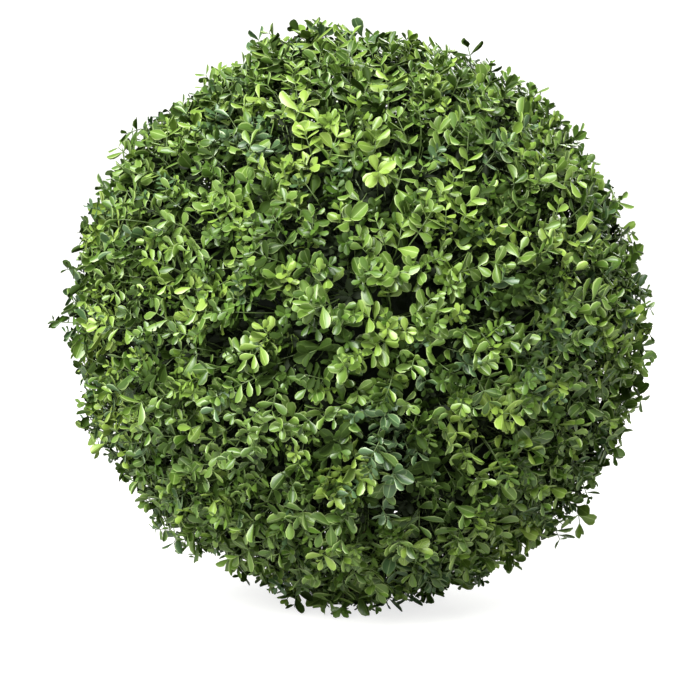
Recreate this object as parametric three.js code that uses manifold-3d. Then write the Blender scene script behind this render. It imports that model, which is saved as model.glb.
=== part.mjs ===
// An artificial box topiary ball: moulded leaf sprays on a ball core, on a short stem.
//
// Millimetres, +Z up. The origin is the centre of the stem's flat foot, at ground level.
// The ball is made as two half balls that meet on the plane Y = 0 and clamp the stem
// between them. Each half has its own core half, whose sockets lie on rings round the
// pole axis Y, and its own clipped mass of foliage. The poles face -Y (front) and +Y.
import * as THREE from "three";
import { mergeVertices } from "three/addons/utils/BufferGeometryUtils.js";
import Module from "manifold-3d";

// Driving dimensions
const CROWN_RADIUS = 196; // of the clipped foliage, between its lumps
const CENTRE_HEIGHT = 199; // of the ball's centre above the ground
const CORE_RADIUS = 138; // of the ball core that holds the sprays
const SOCKET_RINGS = 8; // rings of sockets on each half, from pole to seam
const SOCKET_SPACING = 28; // between neighbouring sockets round a ring
const GAP = 0.3; // between pieces that touch
const CROWN_DETAIL = 14; // cuts across each face of the foliage's starting icosahedron
const CORE_DETAIL = 5; // the same for the core

// The stem flares at its foot, narrows to a waist and ends in a round tip.
const STEM_FOOT_RADIUS = 13;
const STEM_WAIST = { radius: 10, height: 30 };
const STEM_TIP = { radius: 9, height: CENTRE_HEIGHT - 40 };
const STEM_SIDES = 20;

// Every socket's spray makes its own lump in the clipped surface, and a few stand proud.
const LUMP = { least: -3, most: 9, reach: 7 };

// The ball's best side faces this way, in degrees: turn from +X towards +Y, lift upward.
const BEST_SIDE = { turn: -99.5, lift: 5.5 };

// Where the outline swells or is clipped flatter, as seen from the best side. Round is
// the angle from the right, anticlockwise, and inward how far in from the rim, below 0 on
// the far side. Rise is in millimetres, reach in degrees.
const SWELLS = [
  { round: 2, inward: 8, rise: 2, reach: 9 },
  { round: 16, inward: 8, rise: -5, reach: 7 },
  { round: 37, inward: 8, rise: -7, reach: 9 },
  { round: 60, inward: 8, rise: 2, reach: 7 },
  { round: 73, inward: 8, rise: 4, reach: 7 },
  { round: 90, inward: 8, rise: 2, reach: 12 },
  { round: 112, inward: 8, rise: -6, reach: 6 },
  { round: 126, inward: 8, rise: -3.5, reach: 7 },
  { round: 150, inward: 8, rise: 1.5, reach: 14 },
  { round: 190, inward: 8, rise: -3, reach: 6 },
  { round: 200, inward: 8, rise: 2, reach: 16 },
  { round: 252, inward: 8, rise: -7, reach: 11 },
  { round: 276, inward: 8, rise: -2.5, reach: 12 },
  { round: 312, inward: 8, rise: 4, reach: 20 },
  { round: 345, inward: 8, rise: 2, reach: 14 },
  { round: 70, inward: 55, rise: 2.5, reach: 20 },
  { round: 200, inward: 50, rise: -2, reach: 22 },
  { round: 40, inward: -40, rise: -3, reach: 22 },
  { round: 170, inward: -50, rise: 3, reach: 24 },
  { round: 290, inward: -35, rise: 2.5, reach: 20 },
];

// Single sprays that reach furthest past the clipped outline.
const TUFT_REACH = 5.5;
const TUFTS = [
  { round: 60, inward: 8, rise: 3 },
  { round: 100, inward: 8, rise: 10 },
  { round: 136, inward: 8, rise: 8 },
  { round: 159, inward: 8, rise: 8 },
  { round: 180, inward: 8, rise: 18 },
  { round: 203, inward: 8, rise: 12 },
  { round: 234, inward: 8, rise: 4 },
  { round: 297, inward: 8, rise: 13 },
  { round: 318, inward: 8, rise: 9 },
  { round: 335, inward: 8, rise: 17 },
  { round: 351, inward: 8, rise: 9 },
];

const FINISHES = {
  stem: { color: "#4a3a2a", roughness: 0.75, metalness: 0 },
  core: { color: "#1c2a18", roughness: 0.6, metalness: 0 },
  foliage: { color: "#4f7a32", roughness: 0.5, metalness: 0 },
};

const rad = THREE.MathUtils.degToRad;
const CENTRE = new THREE.Vector3(0, 0, CENTRE_HEIGHT);

// A repeatable source of numbers from 0 to 1.
function seeded(seed) {
  let state = seed;
  return () => {
    state = (state * 1664525 + 1013904223) % 4294967296;
    return state / 4294967296;
  };
}

// The directions of all sockets: rings round the pole axis on each half.
function socketDirections() {
  const found = [];
  for (const side of [-1, 1]) {
    for (let ring = 0; ring < SOCKET_RINGS; ring++) {
      const polar = rad((90 * (ring + 0.5)) / SOCKET_RINGS);
      const around = 2 * Math.PI * Math.sin(polar) * CORE_RADIUS;
      const count = Math.round(around / SOCKET_SPACING);
      for (let i = 0; i < count; i++) {
        const turn = (2 * Math.PI * (i + (ring % 2) / 2)) / count;
        const [x, z] = [Math.cos(turn), Math.sin(turn)];
        const level = new THREE.Vector3(x, 0, z).multiplyScalar(Math.sin(polar));
        found.push(level.setY(side * Math.cos(polar)));
      }
    }
  }
  return found;
}

// The direction of a place named by how it is seen from the best side.
function seenAt({ round, inward }) {
  const { turn, lift } = BEST_SIDE;
  const rim = new THREE.Vector3(0, Math.cos(rad(round)), Math.sin(rad(round)));
  const seen = rim.multiplyScalar(Math.cos(rad(inward))).setX(Math.sin(rad(inward)));
  const upright = new THREE.Vector3(0, 1, 0);
  const vertical = new THREE.Vector3(0, 0, 1);
  return seen.applyAxisAngle(upright, rad(-lift)).applyAxisAngle(vertical, rad(turn));
}

function lumps() {
  const random = seeded(20);
  const { least, most, reach } = LUMP;
  return socketDirections().map((centre) => {
    const rise = least + (most - least) * random() ** 2;
    return { centre, rise, reach };
  });
}

// All that raises or lowers the clipped surface, each round its own direction.
const BUMPS = [
  ...SWELLS.map((swell) => ({ ...swell, centre: seenAt(swell) })),
  ...TUFTS.map((tuft) => ({ ...tuft, centre: seenAt(tuft), reach: TUFT_REACH })),
  ...lumps(),
];

// How far the foliage reaches from the ball's centre in a direction.
function crownRadius(direction) {
  return BUMPS.reduce((sum, { centre, rise, reach }) => {
    const away = direction.angleTo(centre) / rad(reach);
    return sum + rise * Math.exp(-away * away);
  }, CROWN_RADIUS);
}

const wasm = await Module();
wasm.setup();

// A closed three.js geometry as a solid that can be cut.
function solid(geometry) {
  geometry.deleteAttribute("normal");
  geometry.deleteAttribute("uv");
  const merged = mergeVertices(geometry, 1e-3);
  const mesh = new wasm.Mesh({
    numProp: 3,
    vertProperties: merged.attributes.position.array,
    triVerts: new Uint32Array(merged.index.array),
  });
  return new wasm.Manifold(mesh);
}

// A cut solid as geometry again.
function geometryOf(made) {
  const { numProp, numVert, vertProperties, triVerts } = made.getMesh();
  const places = new Float32Array(numVert * 3);
  for (let i = 0; i < numVert; i++) {
    places.set(vertProperties.subarray(i * numProp, i * numProp + 3), i * 3);
  }
  const geometry = new THREE.BufferGeometry();
  geometry.setAttribute("position", new THREE.BufferAttribute(places, 3));
  geometry.setIndex(new THREE.BufferAttribute(triVerts, 1));
  geometry.computeVertexNormals();
  return geometry;
}

// A faceted ball round the ball's centre, with its own radius in each direction.
function ball(detail, radiusOf) {
  const geometry = new THREE.IcosahedronGeometry(1, detail);
  const places = geometry.attributes.position;
  for (let i = 0; i < places.count; i++) {
    const place = new THREE.Vector3().fromBufferAttribute(places, i).normalize();
    place.multiplyScalar(radiusOf(place)).add(CENTRE);
    places.setXYZ(i, ...place);
  }
  return solid(geometry);
}

// The stem from a given floor, grown all round by a clearance when it is a cutter.
function stem(floor = 0, clearance = 0) {
  const { radius, height } = STEM_WAIST;
  const flare = new THREE.CubicBezierCurve(
    new THREE.Vector2(STEM_FOOT_RADIUS, 0),
    new THREE.Vector2(radius + 1, height * 0.2),
    new THREE.Vector2(radius, height * 0.6),
    new THREE.Vector2(radius, height),
  );
  const side = flare.getPoints(6).map(({ x, y }) => new THREE.Vector2(x + clearance, y));
  const tipRadius = STEM_TIP.radius + clearance;
  const tip = [0, 30, 60].map(
    (angle) =>
      new THREE.Vector2(
        tipRadius * Math.cos(rad(angle)),
        STEM_TIP.height + tipRadius * Math.sin(rad(angle)),
      ),
  );
  const outline = [
    new THREE.Vector2(0, floor),
    new THREE.Vector2(side[0].x, floor),
    ...side,
    ...tip,
    new THREE.Vector2(0, STEM_TIP.height + tipRadius),
  ];
  return solid(new THREE.LatheGeometry(outline, STEM_SIDES).rotateX(Math.PI / 2));
}

// The half of space on one side of the seam, short of it by half a gap.
function halfSpace(side) {
  const size = 4 * CROWN_RADIUS;
  const box = new THREE.BoxGeometry(size, size, size);
  return solid(box.translate(0, (side * (size + GAP)) / 2, CENTRE_HEIGHT));
}

function piece(name, made, finish) {
  const material = new THREE.MeshStandardMaterial(FINISHES[finish]);
  const mesh = new THREE.Mesh(geometryOf(made), material);
  mesh.name = name;
  return mesh;
}

const stemRoom = stem(-CORE_RADIUS, GAP);
const core = ball(CORE_DETAIL, () => CORE_RADIUS).subtract(stemRoom);
const coreRoom = ball(CORE_DETAIL, () => CORE_RADIUS + GAP);
const foliage = ball(CROWN_DETAIL, crownRadius).subtract(coreRoom).subtract(stemRoom);

const topiaryBall = new THREE.Group();
topiaryBall.add(piece("stem", stem(), "stem"));

for (const [half, side] of [["front", -1], ["back", 1]]) {
  const space = halfSpace(side);
  topiaryBall.add(piece(`core_${half}_half`, core.intersect(space), "core"));
  topiaryBall.add(piece(`foliage_${half}_half`, foliage.intersect(space), "foliage"));
}

export default topiaryBall;
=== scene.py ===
# %% [markdown]
# # An artificial box topiary ball
#
# The real thing is a ball of moulded plastic box leaves. Two lattice half shells clip
# together round a short stem, a spray of foliage is plugged into every socket of the
# lattice, and the sprays are bent and clipped to a ball. This lesson grows the foliage
# first, because it is all that shows: shoots that fork from every socket, and leaves in
# opposite pairs along each shoot. The lattice, its sockets and the stem follow.
#
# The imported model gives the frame: where the core is, and how far the clipped foliage
# reaches in every direction. Nothing here changes those sizes.

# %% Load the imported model
import math
import random

import bmesh
import bpy
import numpy as np
from mathutils import Matrix, Vector, noise
from mathutils.bvhtree import BVHTree


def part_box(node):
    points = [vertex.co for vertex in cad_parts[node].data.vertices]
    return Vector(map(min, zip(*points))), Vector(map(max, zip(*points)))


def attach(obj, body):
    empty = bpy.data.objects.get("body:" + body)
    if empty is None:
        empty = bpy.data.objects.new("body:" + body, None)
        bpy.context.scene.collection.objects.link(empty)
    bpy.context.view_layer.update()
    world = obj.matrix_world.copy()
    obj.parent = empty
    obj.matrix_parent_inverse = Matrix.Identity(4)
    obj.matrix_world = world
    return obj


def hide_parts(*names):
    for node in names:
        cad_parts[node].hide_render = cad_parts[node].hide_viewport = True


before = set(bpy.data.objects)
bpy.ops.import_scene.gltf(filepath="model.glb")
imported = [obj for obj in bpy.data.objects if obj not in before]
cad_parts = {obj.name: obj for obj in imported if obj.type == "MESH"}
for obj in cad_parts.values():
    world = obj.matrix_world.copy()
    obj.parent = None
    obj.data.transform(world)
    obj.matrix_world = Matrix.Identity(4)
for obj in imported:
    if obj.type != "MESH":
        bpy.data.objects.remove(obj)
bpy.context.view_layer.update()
print("nodes:", ", ".join(sorted(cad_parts)))

# %% [markdown]
# ## Sizes
#
# Blender works in metres, but a gardener thinks of a leaf in millimetres, so `MM` turns one
# into the other. The ball's centre and the core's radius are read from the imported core: its
# top and its sides are whole, while its underside is open for the stem.

# %% Driving sizes
MM = 0.001

core_low, core_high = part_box("core_front_half")
CORE_RADIUS = (core_high[0] - core_low[0]) / 2
CENTRE = Vector((0, 0, core_high[2] - CORE_RADIUS))
HALVES = {"front": -1, "back": 1}
print(f"core radius {CORE_RADIUS / MM:.1f} mm, centre {CENTRE.z / MM:.1f} mm above ground")

# %% [markdown]
# ## How far the foliage reaches
#
# The clipped surface is uneven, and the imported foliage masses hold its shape. A ray that
# comes in from outside towards the centre first meets that surface, so a bounding volume
# tree of the two masses answers how far the leaves may reach in any direction. The stem is
# in the tree too, or a ray from straight below would slip into its hole and out at the top.

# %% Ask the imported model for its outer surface
def outer_surface(nodes):
    """A ray-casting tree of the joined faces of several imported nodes."""
    points = []
    faces = []
    for node in nodes:
        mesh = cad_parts[node].data
        start = len(points)
        points += [vertex.co.copy() for vertex in mesh.vertices]
        faces += [[start + index for index in face.vertices] for face in mesh.polygons]
    return BVHTree.FromPolygons(points, faces)


CROWN = outer_surface(["foliage_front_half", "foliage_back_half", "stem"])
FAR_OUTSIDE = 3 * CORE_RADIUS
BESIDE_SEAM = 0.5 * MM


def reach(direction):
    """Distance from the ball's centre to the clipped surface, beside the seam's gap."""
    aside = Vector((0, math.copysign(BESIDE_SEAM, direction.y), 0))
    hit = CROWN.ray_cast(CENTRE + aside + FAR_OUTSIDE * direction, -direction)
    return FAR_OUTSIDE - hit[3]


print(f"reach up {reach(Vector((0, 0, 1))) / MM:.1f} mm")

# %% [markdown]
# ## Colours and materials
#
# Colours are easiest to choose as the hex values of a paint chart, but a renderer adds
# light in linear values, so one function turns hex into linear. Every material is a
# Principled shader. The leaves are many thousand small faces, and they are given plain
# colours only: their relief is in their shape, and their variety comes from dealing out
# several greens, spray by spray, the way the maker mixes batches of plastic.

# %% Helpers for colours and shader nodes
def linear(hex_colour):
    """An sRGB hex colour as linear red, green, blue and alpha."""
    channels = [int(hex_colour[i : i + 2], 16) / 255 for i in (1, 3, 5)]
    lit = [c / 12.92 if c <= 0.04045 else ((c + 0.055) / 1.055) ** 2.4 for c in channels]
    return (*lit, 1)


def add_node(material, kind, settings=None, links=None):
    """Adds a shader node, sets its properties or inputs, and links its inputs."""
    node = material.node_tree.nodes.new(kind)
    for name, value in (settings or {}).items():
        if name in node.inputs:
            node.inputs[name].default_value = value
        else:
            setattr(node, name, value)
    for name, source in (links or {}).items():
        material.node_tree.links.new(source, node.inputs[name])
    return node


def plain_material(name, colour, settings):
    """A Principled material of one colour."""
    material = bpy.data.materials.new(name)
    material.use_nodes = True
    shader = material.node_tree.nodes["Principled BSDF"]
    shader.inputs["Base Color"].default_value = linear(colour)
    for socket, value in settings.items():
        shader.inputs[socket].default_value = value
    return material


# %% [markdown]
# ### Moulded polyethylene leaves
#
# Artificial box is injection moulded in soft polyethylene from a satin-polished mould. It
# has an index of refraction of about 1.51, and its satin surface spreads a window or a
# softbox into a broad whitish patch. The greens run from the yellow of young growth to the
# blue of old leaves. The rib is a paler line, and the rim's pale line is a painted highlight.
# Leaves deep inside get dark greens and a dull finish: painted shade, which keeps the gaps
# between the shoots dark.

# %% Leaf greens
LEAF_FINISH = {"Roughness": 0.42, "IOR": 1.51, "Specular IOR Level": 0.6}
# This dull finish goes with the dark greens that paint shade deep inside the ball.
DULL_SHADE_FINISH = {"Roughness": 0.7, "IOR": 1.51, "Specular IOR Level": 0.2}
# Each green as the colour of its blade, and of its rib and rim; the pale rim is a painted
# highlight.
GREENS = {
    "lime": ("#7D983C", "#96AB5C"),
    "spring": ("#6D8A33", "#8DA458"),
    "fresh": ("#5D7A2D", "#879D59"),
    "box": ("#4C6A23", "#7D9353"),
    "deep": ("#395514", "#71874A"),
    "blue": ("#446039", "#788D60"),
    # shade and inner are also dealt to every shoot that ends deep inside: painted shade.
    "shade": ("#263A07", "#394C19"),
    "inner": ("#0F1A02", "#1A250B"),
}
PAINTED_SHADE_GREENS = ("shade", "inner")


def leaf_materials():
    """Materials of the blades in the order of GREENS, then of their ribs and rims."""
    blades = []
    ribs = []
    for name, (blade, rib) in GREENS.items():
        finish = DULL_SHADE_FINISH if name in PAINTED_SHADE_GREENS else LEAF_FINISH
        blades.append(plain_material(f"moulded polyethylene leaf, {name}", blade, finish))
        # The rib's colour also paints each rim, as a painted highlight along the edge.
        ribs.append(plain_material(f"moulded polyethylene rib, {name}", rib, finish))
    return blades + ribs


LEAF_MATERIALS = leaf_materials()
TINTS = list(GREENS)
print(len(LEAF_MATERIALS), "leaf materials")

# %% [markdown]
# ## One leaf of each size
#
# A box leaf is widest beyond its middle, narrows to its stalk and ends round. The blade is
# folded a little along its rib and arched from stalk to tip, and a fine pale line along its
# rim is a painted highlight. It is stamped thousands of times, so it has as few faces as its
# outline allows: a grid whose rows are pulled in to the outline's width. Large leaves keep a
# narrow strip along the middle for the rib and one along each edge for the rim, medium ones
# keep only the rim, and the small ones do without. Leaves deep inside the ball are simpler
# still.

# %% Leaf templates
WIDEST_AT = 0.6
STALK_WIDTH = 0.1
# How fast the outline widens beyond its stalk: above 1 gives it a narrow, hollow foot.
FOOT_HOLLOW = 1.35
# Rows along a leaf, from its stalk 0 to its tip, and columns from its rib 0 to its edge 1.
ROWS = {
    "large": [0, 0.17, 0.38, 0.62, 0.85, 0.97],
    "medium": [0, 0.25, 0.53, 0.82, 0.97],
    "small": [0, 0.34, 0.7, 0.97],
    "inner": [0, 0.5, 0.95],
}
COLUMNS = {
    "large": [-1, -0.86, -0.46, -0.07, 0.07, 0.46, 0.86, 1],
    "medium": [-1, -0.82, 0, 0.82, 1],
    "small": [-1, 0, 1],
    "inner": [-1, 0, 1],
}
# Faces that lie this near the rib, or this near the edge, are pale: a paler rib line, and a
# painted highlight along the rim.
RIB_WITHIN = 0.1
RIM_BEYOND = 0.8


def outline_width(along):
    """Width at a place from stalk 0 to tip 1, as a share of the greatest width."""
    if along < WIDEST_AT:
        rise = math.sin(math.pi / 2 * along / WIDEST_AT) ** FOOT_HOLLOW
        return max(STALK_WIDTH, rise)
    past = (along - WIDEST_AT) / (1 - WIDEST_AT)
    return math.sqrt(1 - past**2)


def is_pale(sides):
    """Whether a face with corners this far aside lies in a rib's or a rim's strip."""
    return max(sides) < RIB_WITHIN or min(sides) > RIM_BEYOND


def leaf_template(kind, dome, arch):
    """A leaf 1 long and 1 wide, along +X with its face up: points, quads, which are pale."""
    rows = ROWS[kind]
    columns = COLUMNS[kind]
    bm = bmesh.new()
    bmesh.ops.create_grid(
        bm, x_segments=len(rows) - 1, y_segments=len(columns) - 1, size=0.5
    )
    aside = {}
    for vertex in bm.verts:
        row = round((vertex.co.x + 0.5) * (len(rows) - 1))
        side = columns[round((vertex.co.y + 0.5) * (len(columns) - 1))]
        along = rows[row]
        half = outline_width(along) / 2
        rounding = (1 - along) * (1 - abs(side)) if row == len(rows) - 1 else 0
        aside[vertex.index] = abs(side)
        vertex.co.x = along + rounding
        vertex.co.y = side * half
        vertex.co.z = -dome * side**2 * half - arch * along**2
    points = np.array([vertex.co[:] for vertex in bm.verts])
    quads = np.array([[vertex.index for vertex in face.verts] for face in bm.faces])
    bm.free()
    pale = np.array([is_pale([aside[index] for index in quad]) for quad in quads])
    return points, quads, pale


# Each kind of leaf in five poses, as dome and arch: domed, straight, arched, rolled, cupped.
LEAF_POSES = [(0.34, 0.14), (0.24, 0.05), (0.2, 0.25), (0.5, 0.18), (-0.4, -0.06)]
TEMPLATES = {kind: [leaf_template(kind, *pose) for pose in LEAF_POSES] for kind in ROWS}
for kind, poses in TEMPLATES.items():
    print(kind, "leaf:", 2 * len(poses[0][1]), "triangles")

# %% [markdown]
# ## Sockets on the core
#
# Each half shell is one moulding with its pole in its middle, and its sockets lie on rings
# round that pole. So their directions are worked out ring by ring, with as many on a ring
# as fit at the same spacing, and every other ring is turned by half a step.

# %% Directions of the sockets
SOCKET_RINGS = 8
SOCKET_SPACING = 28 * MM


def socket_directions():
    """Unit directions of all sockets, with the half that each belongs to."""
    found = []
    for half, side in HALVES.items():
        for ring in range(SOCKET_RINGS):
            polar = math.radians(90 * (ring + 0.5) / SOCKET_RINGS)
            around = math.tau * math.sin(polar) * CORE_RADIUS
            count = round(around / SOCKET_SPACING)
            for i in range(count):
                turn = math.tau * (i + (ring % 2) / 2) / count
                level = Vector((math.cos(turn), 0, math.sin(turn))) * math.sin(polar)
                level.y = side * math.cos(polar)
                found.append((half, level))
    return found


SOCKETS = socket_directions()
print(len(SOCKETS), "sockets")

# %% [markdown]
# ## The branching rule
#
# A spray leaves its socket square to the core and forks at once into a dozen and more
# shoots. They spread, climb towards the clipped surface and then bend over. Each shoot is a
# quadratic curve: its far end is set from the reach of the foliage in that direction, and
# its middle point decides whether it lies along the surface or ends square to it.
#
# Three kinds of shoot share each socket. A few have large leaves and end near the surface,
# and many have small ones and end at every depth, so the eye looks past them into shade.
# Neighbouring shoots turn by the golden angle, as buds do, so they never line up. All
# random choices come from one seeded generator, so the ball is the same every time.

# %% What each kind of shoot is like
# Sizes in millimetres: leaf is a leaf's length, slim its width over its length, pairs the
# pairs of leaves behind the tip, gap the distance between pairs, under how far the shoot's
# end stays below the clipped surface, and spread how far the end may lie from the socket,
# in degrees.
SHOOTS = {
    "large": dict(
        count=3, leaf=(12.5, 16.5), slim=0.56, pairs=2, gap=9, under=(2.5, 10), spread=8.5
    ),
    "medium": dict(
        count=5, leaf=(8.5, 12), slim=0.57, pairs=3, gap=6, under=(1, 19), spread=9
    ),
    "small": dict(
        count=8, leaf=(6, 9), slim=0.58, pairs=4, gap=4, under=(1, 23), spread=9.5
    ),
}
FORK_HEIGHTS = (6, 16)
# The turn from one shoot to the next, and how far it varies, in radians.
GOLDEN_TURN = math.pi * (3 - math.sqrt(5))
TURN_SPREAD = 0.4
CURVE_POINTS = 5
# A shoot's middle point, from an upright shoot to one that lies along the surface: how far
# it is turned from the shoot's end to its socket, and how far it is below the end.
BEND_TURN = (0.3, 0.8)
BEND_BELOW = (22, 3)
# A few shoots have escaped the shears and stand proud of the clipped surface.
PROUD_SHARE = 0.07
PROUD_BY = 7 * MM
# Sprays lean a little away from their pole, where the moulds left no room to plug them in.
LEAN_FROM_POLE = 0.01
SPLAY_FROM_POLE = 0.05
# Under the ball's weight the lowest foliage has settled outwards as far as the ground.
SETTLED_WITHIN = math.cos(math.radians(20))
SETTLED_BY = 8 * MM

random_source = random.Random(7)

# %% The curve of one shoot
def axes_at(direction):
    """Two axes square to a direction: away from the nearer pole, and round it."""
    pole = Vector((0, math.copysign(1, direction.y), 0))
    away = (direction * direction.dot(pole) - pole).normalized()
    return away, direction.cross(away)


def mixed(low, high, share):
    """The value at a share of the way from one value to another."""
    return low + (high - low) * share


def between(low, high):
    """A random value between two others."""
    return mixed(low, high, random_source.random())


def foliage_limit(outward):
    """How far leaves may reach: to the clipped surface, or the ground under the ball."""
    limit = reach(outward)
    if -outward.z > SETTLED_WITHIN:
        limit = min(limit + SETTLED_BY, -CENTRE.z / outward.z)
    return limit


def shoot_curve(socket, kind, turn):
    """The points of one shoot, the outward direction at its end, and how deep it ends."""
    rule = SHOOTS[kind]
    away, around = axes_at(socket)
    spread = math.tan(math.radians(rule["spread"])) * math.sqrt(random_source.random())
    sideways = away * math.cos(turn) + around * math.sin(turn)
    outward = (socket + spread * sideways + LEAN_FROM_POLE * away).normalized()
    below = between(*rule["under"]) * MM
    if random_source.random() < PROUD_SHARE:
        below -= PROUD_BY
    far = foliage_limit(outward) - below
    fork = CENTRE + socket * (CORE_RADIUS + between(*FORK_HEIGHTS) * MM)
    end = CENTRE + outward * far
    lie = random_source.random()
    bend_way = outward.lerp(socket, mixed(*BEND_TURN, lie)) - SPLAY_FROM_POLE * away
    bend = CENTRE + bend_way.normalized() * (far - mixed(*BEND_BELOW, lie) * MM)
    steps = np.linspace(0, 1, CURVE_POINTS)[:, None]
    points = (1 - steps) ** 2 * np.array(fork)
    points += 2 * steps * (1 - steps) * np.array(bend)
    points += steps**2 * np.array(end)
    return points, outward, below


# %% [markdown]
# ## Leaves in opposite pairs
#
# Box leaves sit in pairs, and each pair is turned a quarter from the one below it. The pair
# at the tip points forwards and is small and young; the lower pairs open out. A leaf turns
# its face to the light, so its face lies between the shoot's own direction and straight
# outwards from the ball.

# %% Place the leaves of one shoot
# How far leaves stand up from square to their shoot, in degrees, from the tip downwards.
LIFTS = [52, 34, 24, 17, 12]
# How much the leaves vary: their lift and roll in degrees, a pair's turn in radians.
LIFT_SPREAD = 14
ROLL_SPREAD = 25
PAIR_TURN_SPREAD = 0.25
# Sizes of the leaves at the tip and of the others, as a share of the shoot's leaf size.
TIP_SCALE = 0.66
PAIR_SCALES = (0.82, 1.08)
# The lowest place on a shoot that still carries leaves, counted in its curve's points.
LOWEST_LEAF = 0.8
# How far a face turns from its shoot's own direction, 0, to straight outwards, 1.
FACE_OUT = 0.42
# A shoot whose sine with the outward direction is less counts as upright.
UPRIGHT = 0.3
# Shoots that end deeper than this are in shade.
SHADY_DEPTH = 11.5 * MM


def rotated(vector, axis, angle):
    """A vector turned round an axis by an angle in radians."""
    return Matrix.Rotation(angle, 3, axis) @ vector


def leaf_axes(shoot_way, side, lift, outward):
    """The leaf's own axes: along its length, across it, and its face."""
    lying = 1 - abs(shoot_way.dot(outward))
    lift = math.radians(lift + between(-LIFT_SPREAD, LIFT_SPREAD))
    length_way = (math.cos(lift) * side + math.sin(lift) * shoot_way).normalized()
    own_face = math.cos(lift) * shoot_way - math.sin(lift) * side
    face = own_face.lerp(outward, mixed(FACE_OUT, 1, lying))
    face = (face - face.dot(length_way) * length_way).normalized()
    face = rotated(face, length_way, math.radians(random_source.gauss(0, ROLL_SPREAD)))
    return length_way, face.cross(length_way), face


def side_of_pair(shoot_way, outward, side, pair):
    """Where a pair points: crosswise on an upright shoot, flat on one that lies down."""
    lying = 1 - abs(shoot_way.dot(outward))
    flat_side = shoot_way.cross(outward)
    if flat_side.length < UPRIGHT:
        flat_side = side - side.dot(shoot_way) * shoot_way
    turn = pair * math.pi / 2 * (1 - lying) ** 2
    turn += random_source.gauss(0, PAIR_TURN_SPREAD)
    return rotated(flat_side.normalized(), shoot_way, turn)


def leaves_of_shoot(points, outward, kind, tint, below):
    """Every leaf of a shoot, as rows for the stamping arrays."""
    rule = SHOOTS[kind]
    length = np.linalg.norm(np.diff(points, axis=0), axis=1).sum()
    leaf = between(*rule["leaf"]) * MM
    side = rotated(axes_at(outward)[0], outward, between(0, math.tau))
    rows = []
    for pair in range(rule["pairs"] + 1):
        back = pair * rule["gap"] * MM / length
        at = (1 - back) * (len(points) - 1)
        if at < LOWEST_LEAF:
            break
        low = min(int(at), len(points) - 2)
        step = Vector(points[low + 1] - points[low])
        place = Vector(points[low]) + step * (at - low)
        way = step.normalized()
        square = side_of_pair(way, outward, side, pair)
        size = leaf * (TIP_SCALE if pair == 0 else between(*PAIR_SCALES))
        stamp = "medium" if kind == "large" and pair == 0 else kind
        if below > SHADY_DEPTH:
            stamp = "inner"
        for hand in (-1, 1):
            along, across, face = leaf_axes(way, hand * square, LIFTS[pair], outward)
            width = size * rule["slim"]
            rows.append((stamp, tint, place, along * size, across * width, face * size))
    return rows


# %% [markdown]
# ## Dealing out the greens
#
# Each spray is moulded in one batch of plastic, so many of its shoots share one green, and
# the rest come from other batches. Shoots that end deep inside get the dull dark greens, as
# painted shade, which is what makes the gaps between the outer leaves look deep.

# %% Grow every spray
TINT_SHARES = {
    "lime": 0.08,
    "spring": 0.14,
    "fresh": 0.21,
    "box": 0.21,
    "deep": 0.14,
    "blue": 0.1,
    "shade": 0.12,
}
# The share of a spray's shoots that surely have the spray's own green.
OWN_GREEN_SHARE = 0.38
# Shoots that end deeper than this are all of the darkest green: painted shade.
INNER_DEPTH = 17 * MM


def any_green():
    """A green drawn by the greens' shares."""
    return random_source.choices(list(TINT_SHARES), TINT_SHARES.values())[0]


def pick_tint(usual, below):
    """The spray's own green or another one, and a dark one deep inside as painted shade."""
    # Deep shoots get painted shade: the darkest green deepest, and a dark green a little higher.
    if below > INNER_DEPTH:
        return "inner"
    if below > SHADY_DEPTH:
        return random_source.choice(PAINTED_SHADE_GREENS)
    if random_source.random() < OWN_GREEN_SHARE:
        return usual
    return any_green()


def grow():
    """All shoots and leaves, kept apart by half shell."""
    shoots = {half: [] for half in HALVES}
    leaves = {half: [] for half in HALVES}
    for half, socket in SOCKETS:
        usual = any_green()
        turn = between(0, math.tau)
        for kind, rule in SHOOTS.items():
            for _ in range(rule["count"]):
                turn += GOLDEN_TURN + between(-TURN_SPREAD, TURN_SPREAD)
                points, outward, below = shoot_curve(socket, kind, turn)
                tint = TINTS.index(pick_tint(usual, below))
                shoots[half].append(points)
                leaves[half] += leaves_of_shoot(points, outward, kind, tint, below)
    return shoots, leaves


SHOOT_CURVES, LEAVES = grow()
for half in HALVES:
    print(half, len(SHOOT_CURVES[half]), "shoots,", len(LEAVES[half]), "leaves")

# %% [markdown]
# ## Joined meshes
#
# A mesh object for each leaf would be far too heavy, so all leaves of one size on one half
# become one mesh. NumPy moves every copy of a template to its leaf's own axes in one sum,
# and the arrays go straight into a Blender mesh. Tubes and sockets are joined the same way.

# %% A finished piece from arrays
def finished(name, mesh, replaces):
    """A piece of the finished model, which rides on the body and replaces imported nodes."""
    piece = bpy.data.objects.new(name, mesh)
    bpy.context.scene.collection.objects.link(piece)
    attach(piece, "root")
    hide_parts(*replaces)
    return piece


def mesh_piece(name, points, faces, materials, indices, replaces):
    """A smooth-shaded piece from arrays of points, faces and each face's material."""
    mesh = bpy.data.meshes.new(name)
    sides = faces.shape[1]
    mesh.vertices.add(len(points))
    mesh.vertices.foreach_set("co", points.astype(np.float32).ravel())
    mesh.loops.add(faces.size)
    mesh.loops.foreach_set("vertex_index", faces.astype(np.int32).ravel())
    mesh.polygons.add(len(faces))
    mesh.polygons.foreach_set("loop_start", np.arange(0, faces.size, sides, dtype=np.int32))
    mesh.polygons.foreach_set("use_smooth", np.ones(len(faces), dtype=bool))
    for material in materials:
        mesh.materials.append(material)
    mesh.polygons.foreach_set("material_index", np.asarray(indices, dtype=np.int32))
    mesh.update(calc_edges=True)
    mesh.validate()
    return finished(name, mesh, replaces)


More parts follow.
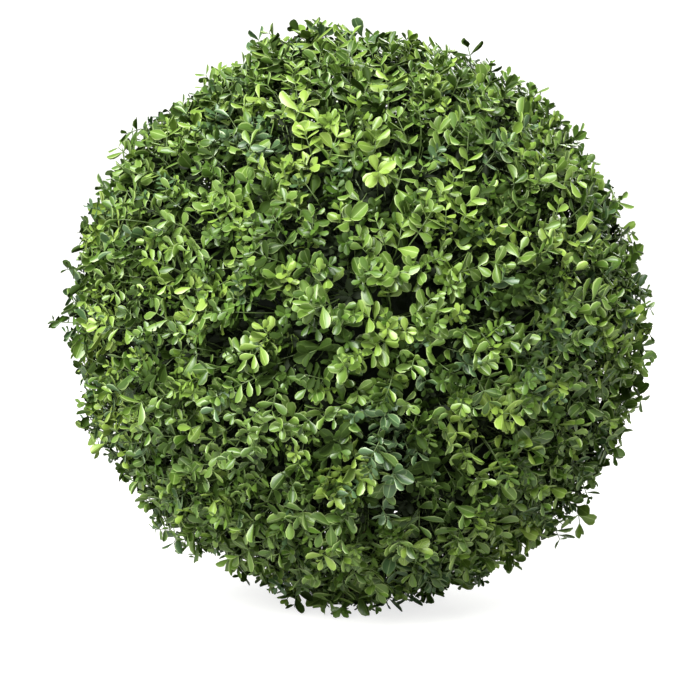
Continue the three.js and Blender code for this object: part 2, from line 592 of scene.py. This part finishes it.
# %% Stamp copies of a template and join them
def stamped(points, rows):
    """Copies of a template, each moved to its own row of place and three scaled axes."""
    place, along, across, face = (
        np.array([row[axis] for row in rows])[:, None, :] for axis in range(4)
    )
    moved = place + along * points[None, :, :1]
    moved = moved + across * points[None, :, 1:2]
    moved = moved + face * points[None, :, 2:]
    return moved


def joined(copies, faces, start=0):
    """The faces of stacked copies, counted on from a starting point."""
    offsets = start + np.arange(len(copies))[:, None, None] * copies.shape[1]
    return (faces[None] + offsets).reshape(-1, faces.shape[1])


# %% [markdown]
# ## The leaves
#
# The ball stands on the ground, so its lowest leaves are pressed up by it. A leaf that
# would dip below ground is lifted until it lies just clear, and where that would take a
# long lift, or where the leaf would go through the stem, the shears have had it already.

# %% Stamp the leaves
GROUND_CLEARANCE = 0.8 * MM
MOST_LIFT = 12 * MM
STEM_ROOM = 10.5 * MM


def leaf_piece(name, leaves, template_set, replaces):
    """All leaves of one size on one half, lifted off the ground where they would touch it."""
    all_points = []
    all_quads = []
    all_indices = []
    start = 0
    for pose, (points, quads, pale) in enumerate(template_set):
        mine = leaves[pose :: len(template_set)]
        moved = stamped(points, [leaf[1:] for leaf in mine])
        tints = np.array([leaf[0] for leaf in mine])
        lift = np.maximum(0, GROUND_CLEARANCE - moved[:, :, 2].min(axis=1))
        moved[:, :, 2] += lift[:, None]
        from_stem = np.hypot(moved[:, :, 0], moved[:, :, 1]).min(axis=1)
        kept = (lift < MOST_LIFT) & (from_stem > STEM_ROOM)
        moved = moved[kept]
        all_points.append(moved.reshape(-1, 3))
        all_quads.append(joined(moved, quads, start))
        # Pale faces take the rib's colour: a paler rib line, and a painted highlight on the rim.
        all_indices.append((tints[kept][:, None] + len(TINTS) * pale[None]).ravel())
        start += moved.shape[0] * moved.shape[1]
    return mesh_piece(
        name,
        np.concatenate(all_points),
        np.concatenate(all_quads),
        LEAF_MATERIALS,
        np.concatenate(all_indices),
        replaces,
    )


for half in HALVES:
    for kind, template_set in TEMPLATES.items():
        leaves = [leaf[1:] for leaf in LEAVES[half] if leaf[0] == kind]
        piece = leaf_piece(f"{kind}_leaves_{half}", leaves, template_set, [f"foliage_{half}_half"])
        print(piece.name, 2 * len(piece.data.polygons), "triangles")

# %% [markdown]
# ## Shoots and main stalks
#
# A shoot is a thin stalk of the same plastic, pale green and tapering to its tip, and each
# spray has one thicker main stalk that plugs into its socket, with a swelling wherever
# shoots leave it. A curve object with a bevel would make one such tube, but there are some
# thousands of them, so one straight tube is modelled and then bent along every curve: each
# of its rings is placed and turned by one point of the curve.

# %% A straight tube to bend
def tube_template(sides, rings):
    """A closed tube of radius 1, with a ring of points at each whole height from 0."""
    bm = bmesh.new()
    bmesh.ops.create_circle(bm, segments=sides, radius=1)
    rim = bm.edges[:]
    for _ in range(rings - 1):
        made = bmesh.ops.extrude_edge_only(bm, edges=rim)["geom"]
        rim = [part for part in made if isinstance(part, bmesh.types.BMEdge)]
        risen = [part for part in made if isinstance(part, bmesh.types.BMVert)]
        bmesh.ops.translate(bm, verts=risen, vec=(0, 0, 1))
    bmesh.ops.holes_fill(bm, edges=bm.edges[:])
    bmesh.ops.recalc_face_normals(bm, faces=bm.faces[:])
    bmesh.ops.triangulate(bm, faces=bm.faces[:])
    points = np.array([vertex.co[:] for vertex in bm.verts])
    triangles = np.array([[vertex.index for vertex in face.verts] for face in bm.faces])
    bm.free()
    return points, triangles


# %% Bend tubes along curves
# Moulded polyethylene too, but from a duller part of the mould than the leaves.
STALK_FINISH = {"Roughness": 0.5, "IOR": 1.51}
STALK_MATERIAL = plain_material("moulded polyethylene stalk", "#4F6330", STALK_FINISH)
SHOOT_RADII = np.linspace(0.6, 0.32, CURVE_POINTS) * MM
SHOOT_SIDES = 3
MAIN_RADII = np.array([2.1, 1.5, 1.9, 1.3, 1.6, 0.9]) * MM
MAIN_SIDES = 6
# A direction that no shoot follows exactly, from which each ring's own axes are taken.
ANY_SLANT = np.array([0.31, 0.87, 0.38])
SOCKET_DEPTH = 3 * MM


def tube_piece(name, curves, radii, sides, replaces):
    """Tapering closed tubes along every curve, joined into one piece."""
    points, triangles = tube_template(sides, len(radii))
    ring = points[:, 2].astype(int)
    curves = np.array(curves)
    ways = np.gradient(curves, axis=1)
    ways /= np.linalg.norm(ways, axis=2, keepdims=True)
    level = np.cross(ANY_SLANT, ways)
    level /= np.linalg.norm(level, axis=2, keepdims=True)
    square = np.cross(ways, level)
    bent = level[:, ring] * points[None, :, :1] + square[:, ring] * points[None, :, 1:2]
    bent = curves[:, ring] + bent * radii[ring][None, :, None]
    bent[:, :, 2] = np.maximum(bent[:, :, 2], GROUND_CLEARANCE)
    faces = joined(bent, triangles)
    one_finish = np.zeros(len(faces))
    return mesh_piece(
        name, bent.reshape(-1, 3), faces, [STALK_MATERIAL], one_finish, replaces
    )


def main_stalk(socket):
    """A straight run of points from inside a socket to the top of its main stalk."""
    low = CORE_RADIUS - SOCKET_DEPTH
    high = CORE_RADIUS + FORK_HEIGHTS[1] * MM
    heights = np.linspace(low, high, len(MAIN_RADII))
    return np.array(CENTRE) + heights[:, None] * np.array(socket)


for half in HALVES:
    owner = [f"foliage_{half}_half"]
    mains = [main_stalk(socket) for where, socket in SOCKETS if where == half]
    pieces = [
        tube_piece(f"shoots_{half}", SHOOT_CURVES[half], SHOOT_RADII, SHOOT_SIDES, owner),
        tube_piece(f"main_stalks_{half}", mains, MAIN_RADII, MAIN_SIDES, owner),
    ]
    for piece in pieces:
        print(piece.name, len(piece.data.polygons), "triangles")

# %% [markdown]
# ## The lattice half shells
#
# Between the leaves the eye meets a lattice of the darkest green: bars along the socket
# rings and across them, with thin panels between the bars, moulded in one shot. It could
# be woven from many bars, but it would be full of crossings. An inset does it in one
# surface: a UV sphere with its poles on Y is cut in half at the seam, every other ring of
# edges is dissolved, and each face is inset by half a bar and sunk to its panel's depth.
# Faces close to the stem are deleted, which leaves the opening that it stands in. Solidify
# then gives the shell its wall, inwards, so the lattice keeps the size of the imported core.
#
# Polypropylene from a mould that was cut by sparks has a fine grain and a dull gloss that
# wanders from patch to patch. The grain is drawn a little coarse, so that it shows.

# %% Moulded polypropylene
GRAIN = 1.2 * MM
GLOSS_PATCH = 35 * MM


def moulded_polypropylene():
    """Dull dark plastic: sparked mould steel leaves a fine grain and uneven gloss."""
    finish = {"IOR": 1.49, "Specular IOR Level": 0.2}
    material = plain_material("moulded polypropylene, sparked", "#111A0B", finish)
    links = material.node_tree.links
    shader = material.node_tree.nodes["Principled BSDF"]
    place = add_node(material, "ShaderNodeTexCoord")
    grain = add_node(
        material,
        "ShaderNodeTexNoise",
        {"Scale": 1 / GRAIN, "Detail": 3.0},
        {"Vector": place.outputs["Object"]},
    )
    patches = add_node(
        material,
        "ShaderNodeTexNoise",
        {"Scale": 1 / GLOSS_PATCH, "Detail": 2.0},
        {"Vector": place.outputs["Object"]},
    )
    gloss = add_node(
        material,
        "ShaderNodeMapRange",
        {"To Min": 0.6, "To Max": 0.85},
        {"Value": patches.outputs["Fac"]},
    )
    colour = add_node(material, "ShaderNodeValToRGB", links={"Fac": patches.outputs["Fac"]})
    colour.color_ramp.elements[0].color = linear("#0B1207")
    colour.color_ramp.elements[1].color = linear("#17220E")
    bump = add_node(
        material,
        "ShaderNodeBump",
        {"Strength": 0.3, "Distance": 0.1 * MM},
        {"Height": grain.outputs["Fac"]},
    )
    links.new(colour.outputs["Color"], shader.inputs["Base Color"])
    links.new(gloss.outputs["Result"], shader.inputs["Roughness"])
    links.new(bump.outputs["Normal"], shader.inputs["Normal"])
    return material


LATTICE_MATERIAL = moulded_polypropylene()

# %% Cut the lattice from a sphere
MERIDIANS = 32
BAR_WIDTH = 3.6 * MM
PANEL_DEPTH = 2.5 * MM
WALL = 2.4 * MM
SEAM_GAP = 0.3 * MM
RING_STEP = math.pi / (4 * SOCKET_RINGS)
HUB_STEPS = 3
OPENING_RADIUS = 17 * MM
MERGE_WITHIN = 0.001 * MM


def ring_number(vertex):
    """How many half ring steps a point of the sphere lies from its nearer pole."""
    return round(math.acos(min(1, abs(vertex.co.y) / CORE_RADIUS)) / RING_STEP)


def lattice_half(half):
    """One half shell as a closed bmesh: bars, sunk panels, and a plain hub at its pole."""
    side = HALVES[half]
    bm = bmesh.new()
    bmesh.ops.create_uvsphere(
        bm, u_segments=MERIDIANS, v_segments=4 * SOCKET_RINGS, radius=CORE_RADIUS
    )
    quarter = Matrix.Rotation(math.pi / 2, 3, "X")
    bmesh.ops.rotate(bm, verts=bm.verts, cent=(0, 0, 0), matrix=quarter)
    between_rings = [
        edge
        for edge in bm.edges
        if ring_number(edge.verts[0]) == ring_number(edge.verts[1])
        and ring_number(edge.verts[0]) % 2 == 0
        and ring_number(edge.verts[0]) < 2 * SOCKET_RINGS
    ]
    bmesh.ops.dissolve_edges(bm, edges=between_rings)
    everything = bm.verts[:] + bm.edges[:] + bm.faces[:]
    bmesh.ops.bisect_plane(
        bm,
        geom=everything,
        plane_co=(0, side * SEAM_GAP / 2, 0),
        plane_no=(0, side, 0),
        clear_inner=True,
    )
    under_stem = [
        face
        for face in bm.faces
        if face.calc_center_median().z < 0
        and min(vertex.co.xy.length for vertex in face.verts) < OPENING_RADIUS
    ]
    bmesh.ops.delete(bm, geom=under_stem, context="FACES")
    cells = [
        face
        for face in bm.faces
        if min(ring_number(vertex) for vertex in face.verts) >= HUB_STEPS
    ]
    bmesh.ops.inset_individual(bm, faces=cells, thickness=BAR_WIDTH / 2, depth=-PANEL_DEPTH)
    bmesh.ops.remove_doubles(bm, verts=bm.verts, dist=MERGE_WITHIN)
    bmesh.ops.recalc_face_normals(bm, faces=bm.faces)
    bmesh.ops.solidify(bm, geom=bm.faces[:], thickness=WALL)
    bmesh.ops.translate(bm, verts=bm.verts, vec=CENTRE)
    return bm


def mesh_from(name, bm, material):
    """A mesh of one material from a bmesh, which is freed."""
    mesh = bpy.data.meshes.new(name)
    bm.to_mesh(mesh)
    bm.free()
    mesh.materials.append(material)
    return mesh


for half in HALVES:
    name = f"lattice_{half}"
    mesh = mesh_from(name, lattice_half(half), LATTICE_MATERIAL)
    piece = finished(name, mesh, [f"core_{half}_half"])
    print(name, len(mesh.polygons), "faces", [round(c / MM, 1) for c in piece.dimensions])

# %% [markdown]
# ### Sockets
#
# Every socket is a short tapered cup on the lattice, which grips the foot of a main stalk.
# One cup is made from a cone without ends, given its wall by solidify, and stamped on every
# socket direction.

# %% Stamp the sockets
CUP_SIDES = 8
CUP_FOOT_RADIUS = 5 * MM
CUP_RIM_RADIUS = 3.9 * MM
CUP_HEIGHT = 7 * MM
CUP_CENTRE = 1.5 * MM
CUP_WALL = 1.4 * MM


def socket_template():
    """A short open cup along +Z, with 0 on the core's surface: points and quads."""
    bm = bmesh.new()
    bmesh.ops.create_cone(
        bm,
        segments=CUP_SIDES,
        radius1=CUP_FOOT_RADIUS,
        radius2=CUP_RIM_RADIUS,
        depth=CUP_HEIGHT,
    )
    bmesh.ops.translate(bm, verts=bm.verts, vec=(0, 0, CUP_CENTRE))
    bmesh.ops.solidify(bm, geom=bm.faces[:], thickness=CUP_WALL)
    points = np.array([vertex.co[:] for vertex in bm.verts])
    quads = np.array([[vertex.index for vertex in face.verts] for face in bm.faces])
    bm.free()
    return points, quads


def socket_row(socket):
    """The place of one cup, and its own three axes."""
    away, around = axes_at(socket)
    return CENTRE + CORE_RADIUS * socket, away, around, socket


for half in HALVES:
    points, quads = socket_template()
    rows = [socket_row(socket) for where, socket in SOCKETS if where == half]
    cups = stamped(points, rows)
    piece = mesh_piece(
        f"sockets_{half}",
        cups.reshape(-1, 3),
        joined(cups, quads),
        [LATTICE_MATERIAL],
        np.zeros(len(cups) * len(quads)),
        [f"core_{half}_half"],
    )
    print(piece.name, len(piece.data.polygons), "quads")

# %% [markdown]
# ## The stem
#
# A short stem stands between the halves and carries the ball. On such a tree it is a brown
# plastic rod, moulded with bark: upright ridges that join and part. A circle is extruded
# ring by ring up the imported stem's profile, and then every point moves in by as much as a
# ridged noise gives there. The colour follows ridges of the same size, darker and duller in
# the cracks. It is hidden in the foliage, but a part must be whole when someone looks
# underneath.

# %% Bark plastic
BARK_RIDGE = 4 * MM
# The pattern is stretched up the stem: this is a ridge's width over its length.
BARK_STRETCH = 0.18


def moulded_bark():
    """Brown plastic with bark ridges: paler on their crests, and darker and dull in the cracks."""
    material = plain_material("moulded polyethylene bark", "#4A3A2A", {"IOR": 1.51})
    links = material.node_tree.links
    shader = material.node_tree.nodes["Principled BSDF"]
    place = add_node(material, "ShaderNodeTexCoord")
    drawn_out = add_node(
        material,
        "ShaderNodeMapping",
        {"Scale": (1, 1, BARK_STRETCH)},
        {"Vector": place.outputs["Object"]},
    )
    ridges = add_node(
        material,
        "ShaderNodeTexNoise",
        {"Scale": 1 / BARK_RIDGE, "Detail": 5.0, "Distortion": 0.4},
        {"Vector": drawn_out.outputs["Vector"]},
    )
    # The colour follows the bump's height: paler on the crests and darker in the cracks.
    colour = add_node(material, "ShaderNodeValToRGB", links={"Fac": ridges.outputs["Fac"]})
    colour.color_ramp.elements[0].position = 0.35
    colour.color_ramp.elements[0].color = linear("#2B2018")
    colour.color_ramp.elements[1].position = 0.68
    colour.color_ramp.elements[1].color = linear("#6A543D")
    gloss = add_node(
        material,
        "ShaderNodeMapRange",
        {"To Min": 0.85, "To Max": 0.55},
        {"Value": ridges.outputs["Fac"]},
    )
    bump = add_node(
        material,
        "ShaderNodeBump",
        {"Strength": 0.6, "Distance": 0.5 * MM},
        {"Height": ridges.outputs["Fac"]},
    )
    links.new(colour.outputs["Color"], shader.inputs["Base Color"])
    links.new(gloss.outputs["Result"], shader.inputs["Roughness"])
    links.new(bump.outputs["Normal"], shader.inputs["Normal"])
    return material


# %% Extrude the stem and raise its bark
STEM_SIDES = 48
STEM_RINGS = 60
BARK_DEPTH = 1.1 * MM
# How long a ridge is, and how many lie side by side within the stem's radius.
RIDGE_LENGTH = 22 * MM
RIDGES_IN_RADIUS = 2.6
_, stem_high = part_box("stem")
FOOT_RADIUS = stem_high[0]
WAIST_RADIUS = 10 * MM
WAIST_HEIGHT = 30 * MM
TIP_RADIUS = 9 * MM


def stem_radius(height):
    """The flared foot, the waist and then a slight taper to the tip."""
    if height < WAIST_HEIGHT:
        flare = (1 - height / WAIST_HEIGHT) ** 2
        return WAIST_RADIUS + (FOOT_RADIUS - WAIST_RADIUS) * flare
    share = (height - WAIST_HEIGHT) / (stem_high[2] - WAIST_HEIGHT)
    return WAIST_RADIUS + (TIP_RADIUS - WAIST_RADIUS) * share


def grown_stem():
    """The stem as a closed bmesh, with flat ends and ridged bark between them."""
    bm = bmesh.new()
    bmesh.ops.create_circle(bm, segments=STEM_SIDES, radius=stem_radius(0))
    rim = bm.edges[:]
    step = stem_high[2] / (STEM_RINGS - 1)
    for ring in range(1, STEM_RINGS):
        made = bmesh.ops.extrude_edge_only(bm, edges=rim)["geom"]
        rim = [part for part in made if isinstance(part, bmesh.types.BMEdge)]
        risen = [part for part in made if isinstance(part, bmesh.types.BMVert)]
        growth = stem_radius(ring * step) / stem_radius((ring - 1) * step)
        bmesh.ops.translate(bm, verts=risen, vec=(0, 0, step))
        bmesh.ops.scale(bm, verts=risen, vec=(growth, growth, 1))
    for vertex in bm.verts:
        out = vertex.co.xy.normalized()
        across = RIDGES_IN_RADIUS * out
        at = Vector((across.x, across.y, vertex.co.z / RIDGE_LENGTH))
        crack = 2 * abs(noise.noise(at))
        vertex.co.xy -= out * BARK_DEPTH * crack
    bmesh.ops.holes_fill(bm, edges=bm.edges[:])
    bmesh.ops.recalc_face_normals(bm, faces=bm.faces[:])
    for face in bm.faces:
        face.smooth = len(face.verts) == 4
    return bm


mesh = mesh_from("bark_stem", grown_stem(), moulded_bark())
piece = finished("bark_stem", mesh, ["stem"])
print("bark_stem", len(mesh.polygons), "faces", [round(c / MM, 1) for c in piece.dimensions])

# %% [markdown]
# ## Camera
#
# A short telephoto lens from a metre and a third away, a little above the ball's centre,
# shows it as a catalogue does, with little foreshortening. The ball's front pole is turned
# slightly aside. The camera's own three axes are worked out from the two angles, and a
# matrix of them places it, with no constraint that would have to be solved later.

# %% Place the camera
VIEW_TURN = -9.5
VIEW_LIFT = 5.5
LENS = 100
SENSOR_WIDTH = 36
VIEW_DISTANCE = 1.36
AIM_ASIDE = -5.4 * MM
AIM_DOWN = -22.5 * MM


def add_camera():
    """The scene's camera, aimed a little to the lower left of the ball's centre."""
    turn = math.radians(VIEW_TURN)
    lift = math.radians(VIEW_LIFT)
    back = Vector(
        (math.sin(turn) * math.cos(lift), -math.cos(turn) * math.cos(lift), math.sin(lift))
    )
    right = Vector((math.cos(turn), math.sin(turn), 0))
    upward = back.cross(right)
    aim = CENTRE + AIM_ASIDE * right + AIM_DOWN * upward
    data = bpy.data.cameras.new("camera")
    data.lens = LENS
    data.sensor_width = SENSOR_WIDTH
    camera = bpy.data.objects.new("camera", data)
    camera.matrix_world = Matrix.Translation(aim + VIEW_DISTANCE * back) @ Matrix(
        (right, upward, back)
    ).transposed().to_4x4()
    bpy.context.scene.collection.objects.link(camera)
    bpy.context.scene.camera = camera
    return camera


print("camera at", [round(c, 3) for c in add_camera().matrix_world.translation])

# %% [markdown]
# ## Floor
#
# The ball stands on white paper that curves up all round, so there is no horizon from any
# side. It is one profile, spun round the upright axis. The paper also glows a little, as if
# lit from below, which keeps it white without more light on the plant: light linking lets
# that glow reach the paper alone.

# %% Spin the floor
FLOOR_RADIUS = 2.5
BEND_RADIUS = 0.8
WALL_HEIGHT = 1.5
BEND_STEPS = 12
FLOOR_SIDES = 64
FLOOR_MERGE_WITHIN = 0.01 * MM
FLOOR_GLOW = 0.75


def floor_material():
    """Matt white paper, lit up from below like a photographer's light table."""
    look = {"Roughness": 0.9, "Emission Color": (1, 1, 1, 1), "Emission Strength": FLOOR_GLOW}
    return plain_material("matt white paper", "#A6A6A2", look)


def floor_profile():
    """Distances from the upright axis and heights, from the centre to the wall's top."""
    profile = [(0, 0), (FLOOR_RADIUS, 0)]
    for step in range(1, BEND_STEPS + 1):
        angle = math.pi / 2 * step / BEND_STEPS
        across = FLOOR_RADIUS + BEND_RADIUS * math.sin(angle)
        profile.append((across, BEND_RADIUS * (1 - math.cos(angle))))
    profile.append((FLOOR_RADIUS + BEND_RADIUS, WALL_HEIGHT))
    return profile


def add_floor():
    """White paper all round the ball, which alone is lit by its own glow."""
    bm = bmesh.new()
    verts = [bm.verts.new((x, 0, z)) for x, z in floor_profile()]
    edges = [bm.edges.new(pair) for pair in zip(verts, verts[1:])]
    bmesh.ops.spin(
        bm,
        geom=verts + edges,
        cent=(0, 0, 0),
        axis=(0, 0, 1),
        angle=math.tau,
        steps=FLOOR_SIDES,
        use_merge=True,
        use_duplicate=False,
    )
    bmesh.ops.remove_doubles(bm, verts=bm.verts, dist=FLOOR_MERGE_WITHIN)
    bmesh.ops.recalc_face_normals(bm, faces=bm.faces)
    mesh = mesh_from("floor", bm, floor_material())
    mesh.shade_smooth()
    floor = bpy.data.objects.new("floor", mesh)
    bpy.context.scene.collection.objects.link(floor)
    lit_by_floor = bpy.data.collections.new("lit by the floor's glow")
    lit_by_floor.objects.link(floor)
    floor.light_linking.receiver_collection = lit_by_floor
    return floor


print("floor with", len(add_floor().data.polygons), "faces")

# %% [markdown]
# ## Light
#
# A large round softbox above the camera's left shoulder is the key light. It is big enough
# to soften the shadows of single leaves and small enough to keep the gaps dark. A weaker
# one behind gives the far side its form, and a faint white sky fills the rest. The Standard
# view transform keeps the greens as they were chosen.

# %% Place the lights
SOFTBOX_SIZE = 1.8
SOFTBOX_DISTANCE = 2.4
SKY_STRENGTH = 0.055
# Each softbox's direction from the ball's centre, and its power in watts.
SOFTBOXES = {
    "key": (Vector((-0.84, -1.34, 1.34)), 164),
    "back light": (Vector((1.0, 1.7, 0.9)), 70),
}


def add_softbox(name, way, power):
    """A round softbox that faces the ball's centre from a given direction."""
    data = bpy.data.lights.new(name, "AREA")
    data.shape = "DISK"
    data.size = SOFTBOX_SIZE
    data.energy = power
    lamp = bpy.data.objects.new(name, data)
    turned = way.normalized().to_track_quat("Z", "Y").to_matrix().to_4x4()
    place = CENTRE + SOFTBOX_DISTANCE * way.normalized()
    lamp.matrix_world = Matrix.Translation(place) @ turned
    bpy.context.scene.collection.objects.link(lamp)
    print(name, power, "W at", [round(c, 2) for c in place])


for name, (way, power) in SOFTBOXES.items():
    add_softbox(name, way, power)

world = bpy.data.worlds.new("studio")
world.use_nodes = True
world.node_tree.nodes["Background"].inputs["Color"].default_value = (1, 1, 1, 1)
world.node_tree.nodes["Background"].inputs["Strength"].default_value = SKY_STRENGTH
bpy.context.scene.world = world
bpy.context.scene.view_settings.view_transform = "Standard"
